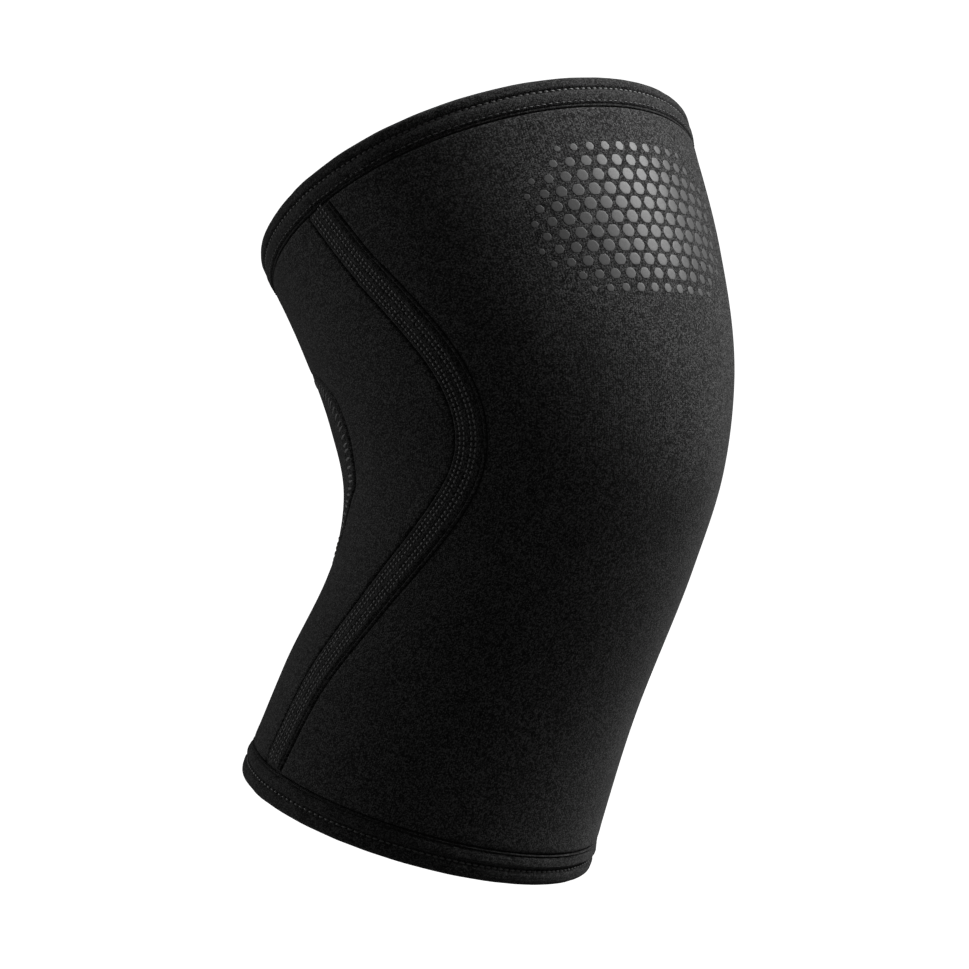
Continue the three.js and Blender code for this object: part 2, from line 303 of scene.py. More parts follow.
def slab(name, outer, inner, place, wrap=False):
    """A closed body between an outer and an inner grid. wrap joins the last column to the first."""
    rows, columns = outer.shape[:2]
    size = rows * columns
    faces = [
        grid_faces(rows, columns, 0, wrap_columns=wrap),
        grid_faces(rows, columns, size, wrap_columns=wrap, flip=True),
    ]
    low = np.arange(columns)
    high = low + (rows - 1) * columns
    for line, flip in ((low, False), (high, True)):
        faces.append(wall_between(line, line + size, wrap, flip))
    if not wrap:
        first = np.arange(rows) * columns
        faces.append(wall_between(first, first + size, False, True))
        last = first + columns - 1
        faces.append(wall_between(last, last + size, False, False))
    points = np.concatenate([outer.reshape(-1, 3), inner.reshape(-1, 3)])
    places = np.concatenate([place.reshape(-1, 3), place.reshape(-1, 3)])
    return new_object(name, points, np.concatenate(faces), places)


def wall_between(line, other, wrap, flip):
    """Quads between two lines of points."""
    on = np.roll(line, -1) if wrap else line[1:]
    other_on = np.roll(other, -1) if wrap else other[1:]
    a = line if wrap else line[:-1]
    b = other if wrap else other[:-1]
    quads = np.stack([a, on, other_on, b], -1)
    return quads[:, ::-1] if flip else quads


def graded(fine_start, middle_count, fine_end):
    """Shares and offsets of grid lines: fine ones at both ends, and even ones between."""
    middle = np.arange(1, middle_count) / middle_count
    shares = np.concatenate([np.zeros(len(fine_start)), middle, np.ones(len(fine_end))])
    starts = np.concatenate([fine_start, np.full(len(middle) + len(fine_end), fine_start[-1])])
    ends = np.concatenate([np.full(len(fine_start) + len(middle), fine_end[-1]), fine_end[::-1]])
    return shares, starts, ends


# Grid lines beside a hem, from the wall's end, and beside a band, from its middle line
HEM_LINES = np.array([-8.3, -3, -0.2, 0.05, 0.2, 0.32, 0.45, 0.6, 0.8, 1.05, 1.4, 1.9, 2.6, 3.5, 4.7])
BAND_LINES = np.array([0.18, 3, 5.7, 6.1, 6.25, 6.38, 6.52, 6.7, 6.95, 7.25, 7.65, 8.2, 8.9, 9.9, 11.2])
FRONT_ROWS = 150
FRONT_COLUMNS = 130
SETTLING_ROUNDS = 6  # in which a grid line's height and angle are fitted to each other


def row_height(share, low, high, angle):
    """Height of a row at a share of the way up between two lines at distances from the rims."""
    return (1 - share) * bottom_height(low, angle) + share * top_height(high, angle)


def crossing(rows, column_angle, count):
    """Height and angle where rows cross columns. column_angle gives each column's angle at a height."""
    share, low, high = (x[:, None] for x in rows)
    height = np.full((share.shape[0], count), 0.5)
    for _ in range(SETTLING_ROUNDS):
        angle = column_angle(height)
        height = row_height(share, low, high, angle)
    return height, column_angle(height)


def panel_rows(middle_count):
    low = np.maximum(HEM_LINES + BOTTOM_HEM_DEPTH, WALL_END)
    high = np.maximum(HEM_LINES + TOP_HEM_DEPTH, WALL_END)
    return graded(low, middle_count, high)


# Inner face: groove along the panels' seam, and how far it steps back inside the hems
INNER_SEAM_DEPTH = 0.5
INNER_SEAM_WIDTH = 0.7
INNER_STEP = 1.0


def inner_level(height, angle):
    """Level of the wall's inner face, which steps back inside the hems."""
    seam = np.abs(band_distance(height, angle))
    rounded = INNER_SEAM_DEPTH * np.exp(-((seam / INNER_SEAM_WIDTH) ** 2))
    step = 1 / (1 + np.exp(-(past_hem(height, angle) - 0.6) * 4))
    return -WALL + (1 - step) * INNER_STEP + rounded


CLOTH_STRETCH = 1.12  # of the cloth along the sleeve over its middle line


def cloth_place(height, angle, level):
    """Place on the cloth in millimetres: round the sleeve, along it and out of it."""
    along = height * SPAN * CLOTH_STRETCH
    return np.stack([angle * KNEE_WIDTH / 2, along, np.broadcast_to(level, height.shape)], -1)


def front_panel():
    share, low, high = graded(BAND_LINES, FRONT_COLUMNS, BAND_LINES)

    def column_angle(height):
        left = beside_band(-1, -low[None, :], height)
        right = beside_band(1, -high[None, :], height)
        return (1 - share) * left + share * right

    height, angle = crossing(panel_rows(FRONT_ROWS), column_angle, len(share))
    level = cloth_level(height, angle)
    outer = wall(height, angle, level)
    inner = wall(height, angle, inner_level(height, angle))
    return slab("front_cloth", outer, inner, cloth_place(height, angle, level))


INSERT_UP = length(upward(np.array(INSERT_MIDDLE), np.array(math.pi)))
INSERT_ROUND = length(around(np.array(INSERT_MIDDLE), np.array(math.pi)))


def insert_place(x, y):
    """Height and angle of a point on the insert's plan, x round the sleeve and y up it, in millimetres."""
    return INSERT_MIDDLE + y / INSERT_UP, math.pi + x / INSERT_ROUND


def insert_plan(height, angle):
    """Point on the insert's plan of a height and an angle."""
    return (angle - math.pi) * INSERT_ROUND, (height - INSERT_MIDDLE) * INSERT_UP


OUTLINE_CUTS = 2  # rounds of cutting the outline's corners
OUTLINE_POINTS = 1600
OUTLINE_STEP = 4  # every fourth point of it carries the insert's mesh


def insert_outline():
    """The insert's closed outline as a fine line, counterclockwise in its plan from the lower end."""
    y = INSERT_OUTLINE[:, 0] * INSERT_HEIGHT / 2
    x = INSERT_OUTLINE[:, 1] * INSERT_WIDTH / 2
    right = np.stack([x, y], 1)
    left = np.stack([-x, y], 1)[::-1]
    ring = np.concatenate([right, left])
    for _ in range(OUTLINE_CUTS):
        onward = np.roll(ring, -1, 0)
        ring = np.stack([ring * 0.75 + onward * 0.25, ring * 0.25 + onward * 0.75], 1).reshape(-1, 2)
    return evenly(ring, OUTLINE_POINTS)


def evenly(ring, count):
    """A closed line again with evenly spaced points."""
    closed = np.concatenate([ring, ring[:1]])
    along = np.concatenate([[0], np.cumsum(length(np.diff(closed, axis=0)))])
    at = np.linspace(0, along[-1], count, endpoint=False)
    return np.stack([np.interp(at, along, closed[:, k]) for k in range(closed.shape[1])], -1)


def offset_ring(ring, distance):
    """A closed line moved outwards by a distance."""
    tangent = unit(np.roll(ring, -1, 0) - np.roll(ring, 1, 0))
    normal = np.stack([tangent[:, 1], -tangent[:, 0]], 1)
    return ring + normal * distance


# Rings round the insert's opening, by their distance from its outline, and the outer face's level there
OPENING_RINGS = np.array([0, 0.12, 0.28, 0.48, 0.75, 1.1, 1.6, 2.3, 3.3, 4.6])
OPENING_LEVEL = smooth(OPENING_RINGS, [-1.7, -1.6, -1.3, -0.95, -0.6, -0.28, -0.05, 0.04, 0.02, 0])
SEAM_ACROSS = 0.1  # share of its depth that the insert's seam keeps where it runs across
SEAM_DOWN = (46, 58)  # from the insert's middle to where its seam starts to deepen and is deepest


def seam_depth(x):
    """Share of its full depth that the insert's seam has at a distance sideways from its middle."""
    t = (np.abs(x) - SEAM_DOWN[0]) / (SEAM_DOWN[1] - SEAM_DOWN[0])
    return SEAM_ACROSS + (1 - SEAM_ACROSS) * ease(t)


# Rear panel's mesh: its columns, the rings between opening and border, and the finer points of its border
REAR_COLUMNS = 560
REAR_RINGS = 36
BORDER_SIDE_POINTS = 1000


def rectangle_ring(q, hem_line, band_line):
    """Height and angle of points q on the rear panel's border, or on a line inside it.

    q runs from 0 to 4 over the lower side, the side at the far band, the upper side and the near band's.
    """
    side = np.minimum(q.astype(int), 3)
    t = q - side
    across = np.select([side == 0, side == 1, side == 2], [t, np.ones_like(t), 1 - t], 0.0)
    along = np.select([side == 0, side == 1, side == 2], [np.zeros_like(t), t, np.ones_like(t)], 1 - t)
    low = max(hem_line + BOTTOM_HEM_DEPTH, WALL_END)
    high = max(hem_line + TOP_HEM_DEPTH, WALL_END)
    height = along.copy()
    for _ in range(SETTLING_ROUNDS):
        near = beside_band(1, band_line, height)
        far = 2 * math.pi - near
        angle = (1 - across) * near + across * far
        height = row_height(along, low, high, angle)
    return height, angle


def rear_panel():
    """The rear panel, as rings between the insert's opening and the panel's border."""
    q = np.linspace(0, 4, 4 * BORDER_SIDE_POINTS, endpoint=False)
    x, y = insert_plan(*rectangle_ring(q, HEM_LINES[-1], BAND_LINES[-1]))
    polar = np.unwrap(np.arctan2(y, x))
    wanted = np.linspace(polar[0], polar[0] + 2 * math.pi, REAR_COLUMNS, endpoint=False)
    for corner in polar[BORDER_SIDE_POINTS::BORDER_SIDE_POINTS]:
        wanted[np.argmin(np.abs(wanted - corner))] = corner
    chosen = np.interp(wanted, polar, q)
    outline = insert_outline()
    outline_polar = np.arctan2(outline[:, 1], outline[:, 0]) % (2 * math.pi)
    order = np.argsort(outline_polar)
    keys = outline_polar[order]
    rings = []
    levels = []
    for distance in OPENING_RINGS:
        moved = offset_ring(outline, distance)[order]
        x, y = (np.interp(wanted % (2 * math.pi), keys, moved[:, k], period=2 * math.pi) for k in (0, 1))
        rings.append(insert_place(x, y))
        levels.append(OPENING_LEVEL(distance) * seam_depth(x))
    first = rings[-1]
    last = rectangle_ring(chosen, HEM_LINES[-1], BAND_LINES[-1])
    for step in range(1, REAR_RINGS):
        t = step / REAR_RINGS
        rings.append((first[0] * (1 - t) + last[0] * t, first[1] * (1 - t) + last[1] * t))
    for hem_line, band_line in zip(HEM_LINES[::-1], BAND_LINES[::-1]):
        rings.append(rectangle_ring(chosen, hem_line, band_line))
    height = np.stack([r[0] for r in rings])
    angle = np.stack([r[1] for r in rings])
    level = cloth_level(height, angle)
    level[: len(levels)] = level[: len(levels)] + np.stack(levels)
    outer = wall(height, angle, level)
    inner = wall(height, angle, inner_level(height, angle))
    return slab("rear_cloth", outer[::-1], inner[::-1], cloth_place(height, angle, level)[::-1], wrap=True)


# Insert: its mesh's rings and its face's level, both by the distance from its edge, and its seam's stitches
INSERT_RINGS = np.array([
    0, 0.1, 0.25, 0.45, 0.7, 1.05, 1.4, 1.7, 1.95, 2.2, 2.5, 2.85, 3.25, 3.6, 3.85, 4.1, 4.4, 4.8, 5.5,
])
INSERT_MIDDLE_RINGS = 30
INSERT_EDGE = smooth(
    [0, 0.1, 0.25, 0.45, 0.7, 1.05, 1.5, 3, 5, 50],
    [-1.7, -1.5, -1.1, -0.65, -0.25, 0.05, 0.12, 0.06, 0, 0],
)
INSERT_ROWS = (1.95, 3.85)  # from the insert's edge to its rows of needle holes
INSERT_ROW_WIDTH = 0.42
INSERT_ROW_DEPTH = 0.4
INSERT_SWELL = 0.1


def insert_relief(depth, x):
    """Level of the insert's face over its plain level, by the distances from its edge and its middle."""
    valleys = sum(np.exp(-(((depth - row) / INSERT_ROW_WIDTH) ** 2)) for row in INSERT_ROWS)
    return (INSERT_EDGE(depth) - INSERT_ROW_DEPTH * valleys) * seam_depth(x)


def drawn_in(outline, depth):
    """The insert's outline drawn in towards its middle, by a depth at its upper and lower ends."""
    return outline * (1 - depth / (INSERT_HEIGHT / 2))


def insert_panel():
    """The padded insert, as rings from its middle to its edge."""
    outline = offset_ring(insert_outline()[::OUTLINE_STEP], -INSERT_SEAM)
    rings = [drawn_in(outline, depth) for depth in INSERT_RINGS]
    rings += [rings[-1] * share for share in np.linspace(1, 0, INSERT_MIDDLE_RINGS)[1:]]
    x, y = np.stack(rings[::-1]).transpose(2, 0, 1)
    height, angle = insert_place(x, y)
    depth = np.concatenate([INSERT_RINGS, np.full(INSERT_MIDDLE_RINGS - 1, INSERT_RINGS[-1] + 1)])[::-1]
    level = -INSERT_SUNK + insert_relief(depth[:, None], x) + ripple(x / 11, y / 9, 8) * INSERT_SWELL
    outer = wall(height, angle, level)
    inner = wall(height, angle, np.full(height.shape, -INSERT_SUNK - INSERT_THICKNESS))
    place = cloth_place(height, angle, level)
    obj = slab("insert_cloth", outer[::-1], inner[::-1], place[::-1], wrap=True)
    return close_middle(obj)


MERGE_REACH = 1e-7  # in metres


def close_middle(obj):
    """Merges the points that meet at the middle of a body of rings, and turns its faces outward."""
    bm = bmesh.new()
    bm.from_mesh(obj.data)
    bmesh.ops.remove_doubles(bm, verts=bm.verts, dist=MERGE_REACH)
    bmesh.ops.recalc_face_normals(bm, faces=bm.faces)
    bm.to_mesh(obj.data)
    bm.free()
    return obj


# A band's middle line, by the distance along it from the lower rim, and the pitch of its stitches
LINE_HEIGHTS = np.linspace(0, 1, 3000)
LINE_POINTS = face(LINE_HEIGHTS, np.radians(band_degrees_at(LINE_HEIGHTS)))
LINE_ALONG = np.concatenate([[0], np.cumsum(length(np.diff(LINE_POINTS, axis=0)))])
BAND_LENGTH = LINE_ALONG[-1]
BAND_PITCH = 1.9

# Levels of a band's underside, and of both its faces where it is tucked under a hem
BAND_UNDER = -1.22
TUCKED_TOP = -1.05
TUCKED_UNDER = -1.65
TUCKED_OVER = 1.7  # length over which a band dips under a hem
BAND_INSET = 0.4  # of a band's ends from the ends of its room
STITCH_HOLE = 0.16
BAND_PUCKER = 0.06


def band_place(side, along, x):
    """Height and angle of a point at a distance along one band and a distance behind its middle line."""
    height = np.interp(along, LINE_ALONG, LINE_HEIGHTS)
    angle = np.radians(band_degrees_at(height))
    turn = np.radians(band_degrees_at(height + NUDGE) - band_degrees_at(height - NUDGE)) / (2 * NUDGE)
    up = upward(height, angle)
    across = around(height, angle)
    p = -((up * across).sum(-1) + (across * across).sum(-1) * turn)
    q = (up * up).sum(-1) + (up * across).sum(-1) * turn
    size = length(up * p[..., None] + across * q[..., None])
    return height + p / size * x, side * (angle + q / size * x)


def hem_dip(height, angle):
    """0 where a band lies under a hem, and 1 where it is clear of it."""
    return ease((past_hem(height, angle) - 0.1) / TUCKED_OVER)


def stitch_holes(turns):
    """1 at each stitch hole and 0 between them, by the number of stitches passed."""
    return (0.5 + 0.5 * np.cos(2 * math.pi * turns)) ** 2


def band_level(along, x):
    """Level of a band's face, pulled down at each stitch hole, with slight puckers along the bend."""
    level = BAND_TOP(x)
    for row in BAND_ROWS:
        level = level - STITCH_HOLE * stitch_holes(along / BAND_PITCH) * np.exp(-(((x - row) / 0.35) ** 2))
    fade = np.clip((BAND_WIDTH / 2 - np.abs(x)) / 1.5, 0, 1)
    return level + ripple(along / 2.4, x / 3, 6) * BAND_PUCKER * fade


def side_band(name, side):
    """A flat band: its top from edge to edge and its underside, as one closed loop along the seam."""
    edge = BAND_WIDTH / 2
    top = np.concatenate([np.linspace(-edge, -4.6, 13), np.linspace(-4.4, 5, 40), np.linspace(5.15, edge, 8)])
    under = np.linspace(edge - 0.1, 0.1 - edge, 8)
    x = np.concatenate([top, under])
    end = WALL_END + BAND_INSET
    along = np.arange(end, BAND_LENGTH - end, BAND_PITCH / 4)
    along, x = np.meshgrid(along, x, indexing="ij")
    height, angle = band_place(side, along, x)
    shown = hem_dip(height, angle)
    is_top = np.arange(x.shape[1]) < len(top)
    above = band_level(along, x) * shown + TUCKED_TOP * (1 - shown)
    below = BAND_UNDER * shown + TUCKED_UNDER * (1 - shown)
    level = np.where(is_top[None, :], above, below)
    points = wall(height, angle, level)
    rows, columns = x.shape
    faces = grid_faces(rows, columns, wrap_columns=True, flip=side < 0).tolist()
    first = list(range(columns))
    last = list(range((rows - 1) * columns, rows * columns))
    faces += [first, last[::-1]] if side > 0 else [first[::-1], last]
    return new_object(name, points, faces, np.stack([x, along, level], -1))


# Hems: rows of stitches and the fold's round part by their distance from the rim, and the folds' levels
TOP_HEM_ROW = 5.2
BOTTOM_HEM_ROW = 5.9
EDGE_ROW = 1.75  # from the hem's edge to its fine second row
HEM_ROUND = 2.7
HEM_UNDER = -0.78
HEM_INSIDE = -WALL - HEM_PROUD_INSIDE
HEM_PITCH = 2.5
HEM_HOLE = 0.18
INSIDE_VALLEY = 0.35
OVER_BAND = 0.3  # how far a hem is raised over a band's end
HEM_EDGE = np.array([
    0, 0.04, 0.08, 0.16, 0.25, 0.38, 0.5, 0.62, 0.74, 0.82, 0.9, 1.0, 1.1, 1.2, 1.32, 1.45, 1.6, 1.75,
    1.9, 2.2, 2.7, 3.2,
])  # points of a hem's section by their distance from its edge


def hem_profile(depth, row, valley, cord):
    """A hem's closed section, as distances from the rim and levels, from the underside's edge over the fold.

    valley is the level just above its row of stitches, and cord that of the thin cord along its edge.
    """
    outer = smooth(
        [HEM_ROUND, row - 0.75, row - 0.3, row, row + 0.3, row + 0.75, row + 1.3, row + 1.8,
         depth - 3.2, depth - 2.2, depth - EDGE_ROW, depth - 1.45, depth - 1.2, depth - 1.0,
         depth - 0.82, depth - 0.5, depth - 0.25, depth - 0.08, depth],
        [0.5, 0.25, -0.15, -0.38, (valley - 0.45) / 2, valley, (valley + 0.9) / 2.4, 0.58,
         0.6, 0.44, 0.24, 0.16, -0.06, -0.42, -0.48, cord, cord - 0.06, -0.6, HEM_UNDER],
    )
    u = [np.array([HEM_CLOTH, (HEM_CLOTH + depth) / 2, depth - 0.15]), depth - HEM_EDGE]
    level = [np.full(3, HEM_UNDER - 0.02), outer(depth - HEM_EDGE)]
    rolls = np.linspace(depth - 3.9, row + 1.2, 6), np.linspace(row - 1.3, HEM_ROUND + 0.4, 4)
    middle = np.concatenate([rolls[0], row + np.linspace(0.9, -0.9, 13), rolls[1]])
    u.append(middle)
    level.append(outer(middle))
    turn = np.linspace(0, math.pi, 19)
    centre = (outer(HEM_ROUND) + HEM_INSIDE) / 2
    half = outer(HEM_ROUND) - centre
    u.append(HEM_ROUND * (1 - np.sin(turn) ** 0.9))
    level.append(centre + half * np.cos(turn))
    beside_row = row + np.linspace(-0.6, 0.6, 7)
    inside = np.concatenate([beside_row, [row + 2.2, depth - 2, depth - 0.7, depth - 0.15, depth]])
    rounded = np.concatenate([np.zeros(len(beside_row)), [0, 0, 0.05, 0.3, 0.7]])
    u.append(inside)
    level.append(HEM_INSIDE + INSIDE_VALLEY * np.exp(-(((inside - row) / 0.4) ** 2)) + rounded)
    u.append(np.array([depth, HEM_CLOTH]))
    level.append(np.full(2, HEM_INSIDE + HEM_CLOTH))
    return np.concatenate(u), np.concatenate(level)


def rim_along(height_of, distance):
    """Tables of the way round a line at a distance from a rim, and of the angle there."""
    angle = np.linspace(0, 2 * math.pi, 4001)
    points = face(height_of(distance, angle), angle)
    return np.concatenate([[0], np.cumsum(length(np.diff(points, axis=0)))]), angle


def over_bands(height, angle):
    """1 where a hem lies over the end of a band, and 0 away from it."""
    return np.exp(-((band_distance(height, angle) / 5.5) ** 6))


def hem(name, height_of, depth, row, valley, cord):
    """A hem: a binding folded round a rim, sewn through in a row of stitches and again beside its edge."""
    u, level = hem_profile(depth, row, valley, cord)
    section = np.concatenate([[0], np.cumsum(np.hypot(np.diff(u), np.diff(level)))])
    along_table, angle_table = rim_along(height_of, row)
    pitch = along_table[-1] / round(along_table[-1] / HEM_PITCH)
    columns = round(along_table[-1] / pitch) * 4
    along = np.linspace(0, along_table[-1], columns, endpoint=False)
    angle = np.interp(along, along_table, angle_table)
    u, angle_grid = np.broadcast_arrays(u[None, :], angle[:, None])
    height = height_of(u, angle_grid)
    along_grid = np.broadcast_to(along[:, None], u.shape)
    level = np.broadcast_to(level[None, :], u.shape)
    outside = level > -WALL / 2
    pulled = HEM_HOLE * stitch_holes(along_grid / pitch) * np.exp(-(((u - row) / 0.5) ** 2))
    raised = OVER_BAND * over_bands(height, angle_grid) * np.clip((depth - u) / 1.2, 0, 1)
    x = np.sin(angle_grid)
    y = np.cos(angle_grid)
    uneven = ripple(x * 22, y * 22 + u / 4, 9) * 0.1 + ripple(x * 60, y * 60, 10) * 0.05
    free = np.clip((depth - u) / 1.5, 0, 1)
    level = level + np.where(outside, (raised - pulled + uneven) * free, (pulled - uneven * 0.5) * free)
    points = wall(height, angle_grid, level)
    upper = height_of is top_height
    faces = grid_faces(columns, u.shape[1], wrap_rows=True, wrap_columns=True, flip=upper)
    section = np.broadcast_to(section[None, :], u.shape)
    return new_object(name, points, faces, np.stack([along_grid, section, level], -1))


# A stitch's thread: its sides, its rings by their share of its span from its middle, and their radii
STITCH_SIDES = 6
STITCH_RINGS = np.array([-0.5, -0.36, 0, 0.36, 0.5])
STITCH_RADII = np.array([0.3, 0.85, 1.06, 0.85, 0.3])
STITCH_FLATNESS = 0.8


def stitches(name, place, starts, span, radius, lift):
    """Short threads along a line. place gives height, angle and level at a distance along it."""
    at = starts[:, None] + STITCH_RINGS[None, :] * span
    height, angle, level = place(at)
    bow = lift * (1 - (2 * STITCH_RINGS) ** 2)
    centre = wall(height, angle, level + bow[None, :])
    forward = unit(np.gradient(centre, axis=1))
    out = outward(height, angle)
    out = unit(out - forward * (out * forward).sum(-1, keepdims=True))
    beside = np.cross(forward, out)
    turn = np.arange(STITCH_SIDES)[:, None] * 2 * math.pi / STITCH_SIDES
    ring = out[:, :, None] * np.cos(turn) * STITCH_FLATNESS + beside[:, :, None] * np.sin(turn)
    points = centre[:, :, None] + ring * (radius * STITCH_RADII)[None, :, None, None]
    per_stitch = len(STITCH_RINGS) * STITCH_SIDES
    tube = grid_faces(len(STITCH_RINGS), STITCH_SIDES, wrap_columns=True, flip=True)
    offsets = np.arange(len(starts)) * per_stitch
    faces = (tube[None] + offsets[:, None, None]).reshape(-1, 4).tolist()
    for offset in offsets.tolist():
        faces.append([offset + STITCH_SIDES - 1 - k for k in range(STITCH_SIDES)])
        faces.append([offset + per_stitch - STITCH_SIDES + k for k in range(STITCH_SIDES)])
    place_on = np.broadcast_to(at[:, :, None, None], points.shape) * np.array([1, 0, 0])
    return new_object(name, points, faces, place_on)


def joined(name, objects):
    """Several objects as one."""
    bm = bmesh.new()
    for obj in objects:
        bm.from_mesh(obj.data)
    mesh = bpy.data.meshes.new(name)
    bm.to_mesh(mesh)
    bm.free()
    mesh.polygons.foreach_set("use_smooth", [True] * len(mesh.polygons))
    for obj in objects:
        bpy.data.objects.remove(obj)
    return link(bpy.data.objects.new(name, mesh))


BEFORE_HEM = 1.2  # where a band's stitches stop beside a hem
BAND_THREAD = 0.37
THREAD_LIFT = 0.16


def band_stitches(name, side):
    """The four rows of stitches along a band."""
    rows = []
    first = BOTTOM_HEM_DEPTH + BEFORE_HEM
    last = BAND_LENGTH - TOP_HEM_DEPTH - BEFORE_HEM
    count = int((last - first) / BAND_PITCH)
    begin = math.ceil(first / BAND_PITCH)
    starts = (begin + 0.5 + np.arange(count)) * BAND_PITCH
    for k, row in enumerate(BAND_ROWS):

        def place(at, row=row):
            x = np.full(at.shape, row)
            height, angle = band_place(side, at, x)
            return height, angle, BAND_TOP(x) + 0.02

        rows.append(stitches(f"row_{k}", place, starts, BAND_PITCH * 0.7, BAND_THREAD, 0.14))
    return joined(name, rows)


def hem_stitches(name, height_of, depth, row, valley, cord, fine_row):
    """A hem's row of stitches, outside and inside, and in the upper hem the fine row beside its edge."""
    rows = []
    u, level = hem_profile(depth, row, valley, cord)
    lines = [(row, False, 0.72, 0.32), (row, True, 0.76, 0.24)]
    if fine_row:
        lines.append((depth - EDGE_ROW, False, 0.6, 0.15))
    for k, (distance, inside, span, radius) in enumerate(lines):
        along_table, angle_table = rim_along(height_of, distance)
        count = round(along_table[-1] / HEM_PITCH)
        pitch = along_table[-1] / count
        chosen = (level < -WALL / 2) if inside else (level > -0.5)
        nearest = np.flatnonzero(chosen)[np.argmin(np.abs(u[chosen] - distance))]
        base = level[nearest]

        def place(at, distance=distance, inside=inside, base=base, table=(along_table, angle_table)):
            angle = np.interp(at % table[0][-1], *table)
            height = height_of(distance, angle)
            raised = 0 if inside else OVER_BAND * over_bands(height, angle)
            return height, angle, np.full(at.shape, base + (-0.03 if inside else 0.03)) + raised

        starts = (np.arange(count) + 0.5) * pitch
        lift = -THREAD_LIFT if inside else THREAD_LIFT
        rows.append(stitches(f"row_{k}", place, starts, pitch * span, radius, lift))
    return joined(name, rows)


PAST_ROW = 0.5  # how far a cross thread reaches past its row of needle holes
INSERT_THREAD = 0.55


def insert_stitches(name):
    """Cross threads of the seam along the insert's edge, each from one row of needle holes to the other."""
    outline = offset_ring(insert_outline()[::OUTLINE_STEP], -INSERT_SEAM)
    ends = [drawn_in(outline, depth) for depth in (INSERT_ROWS[0] - PAST_ROW, INSERT_ROWS[1] + PAST_ROW)]
    girth = length(np.diff(outline, axis=0)).sum()
    count = round(girth / HEM_PITCH)
    chosen = np.arange(count) * len(outline) // count

    def place(at):
        """The thread's number is the whole part of at, and the way along it the rest."""
        number = np.round(at).astype(int)
        share = (at - number + 0.5)[..., None]
        x, y = (ends[0][chosen[number]] * (1 - share) + ends[1][chosen[number]] * share).transpose(2, 0, 1)
        height, angle = insert_place(x, y)
        return height, angle, np.full(at.shape, -INSERT_SUNK - 0.2)

    return stitches(name, place, np.arange(count), 0.96, INSERT_THREAD, 0.05)


# Print: a field of small satin dots over the knee
PRINT_HEIGHT = 0.822
PRINT_ANGLE = math.radians(9)
PRINT_HALF = (45, 31.5)
DOT_PITCH = 6.2
DOT_SIZE = 2.75  # from a dot's middle to its corner
DOT_CORNERS = 6
DOT_SIDES = 18
DOT_RINGS = ((1.0, -0.12), (1.0, 0.4), (0.955, 0.85), (0.88, 1.0), (0.45, 1.0))  # share of size, of film
FILM = 0.09


def print_dots(name):
    """Six-sided dots of printed film, large in the middle of an oval field and small at its edge."""
    up_length = length(upward(np.array(PRINT_HEIGHT), np.array(PRINT_ANGLE)))
    around_length = length(around(np.array(PRINT_HEIGHT), np.array(PRINT_ANGLE)))
    points = []
    faces = []
    corner = math.pi / DOT_CORNERS
    turn = np.arange(DOT_SIDES) * 2 * math.pi / DOT_SIDES + corner
    hexagon = math.cos(corner) / np.cos((turn % (2 * corner)) - corner)
    spokes = np.stack([np.cos(turn), np.sin(turn)], 1) * hexagon[:, None]
    row_pitch = DOT_PITCH * math.sqrt(3) / 2
    rim = len(DOT_RINGS) * DOT_SIDES
    rise = np.concatenate([np.full(DOT_SIDES, r) for _, r in DOT_RINGS] + [[1.0, DOT_RINGS[0][1]]]) * FILM
    rows = int(PRINT_HALF[1] // row_pitch) + 1
    columns = int(PRINT_HALF[0] // DOT_PITCH) + 2
    for row in range(-rows, rows + 1):
        for column in range(-columns, columns + 1):
            x = (column + (row % 2) / 2) * DOT_PITCH
            y = row * row_pitch
            reach = (abs(x) / PRINT_HALF[0]) ** 2.4 + (abs(y) / PRINT_HALF[1]) ** 2.4
            if reach > 1:
                continue
            size = DOT_SIZE * (1 - 0.55 * reach ** 1.6)
            start = len(points) * (rim + 2)
            own = [spokes * size * share + (x, y) for share, _ in DOT_RINGS] + [np.array([(x, y), (x, y)])]
            own = np.concatenate(own)
            height = PRINT_HEIGHT + own[:, 1] / up_length
            angle = PRINT_ANGLE + own[:, 0] / around_length
            points.append(wall(height, angle, cloth_level(height, angle) + rise))
            faces.extend(grid_faces(len(DOT_RINGS), DOT_SIDES, start, wrap_columns=True).tolist())
            top = start + rim
            bottom = top + 1
            last = top - DOT_SIDES
            for k in range(DOT_SIDES):
                faces.append([last + k, top, last + (k + 1) % DOT_SIDES])
                faces.append([start + (k + 1) % DOT_SIDES, bottom, start + k])
    points = np.concatenate(points)
    return close_middle(new_object(name, points, faces, points))


def node(tree, kind, inputs=(), **settings):
    """A shader node with its settings, and its inputs set or linked by name or number."""
    made = tree.nodes.new(kind)
    for key, value in settings.items():
        setattr(made, key, value)
    for key, value in dict(inputs).items():
        if isinstance(value, bpy.types.NodeSocket):
            tree.links.new(value, made.inputs[key])
        else:
            made.inputs[key].default_value = value
    return made


def math_node(tree, operation, *values):
    return node(tree, "ShaderNodeMath", dict(enumerate(values)), operation=operation).outputs[0]


def noise(tree, place, scale, detail, roughness=0.5):
    inputs = {"Vector": place, "Scale": scale, "Detail": detail, "Roughness": roughness}
    return node(tree, "ShaderNodeTexNoise", inputs).outputs[0]


def new_material(name, color, roughness, specular, sheen):
    """A material whose shader has its plain numbers set, its tree and its shader."""
    material = bpy.data.materials.new(name)
    material.use_nodes = True
    tree = material.node_tree
    tree.nodes.clear()
    output = node(tree, "ShaderNodeOutputMaterial")
    shader = node(tree, "ShaderNodeBsdfPrincipled", {
        "Base Color": (*color, 1), "Roughness": roughness, "Specular IOR Level": specular,
        "Sheen Weight": sheen, "Sheen Roughness": 0.5, "Sheen Tint": (1, 1, 1, 1),
    })
    tree.links.new(shader.outputs[0], output.inputs[0])
    return material, tree, shader


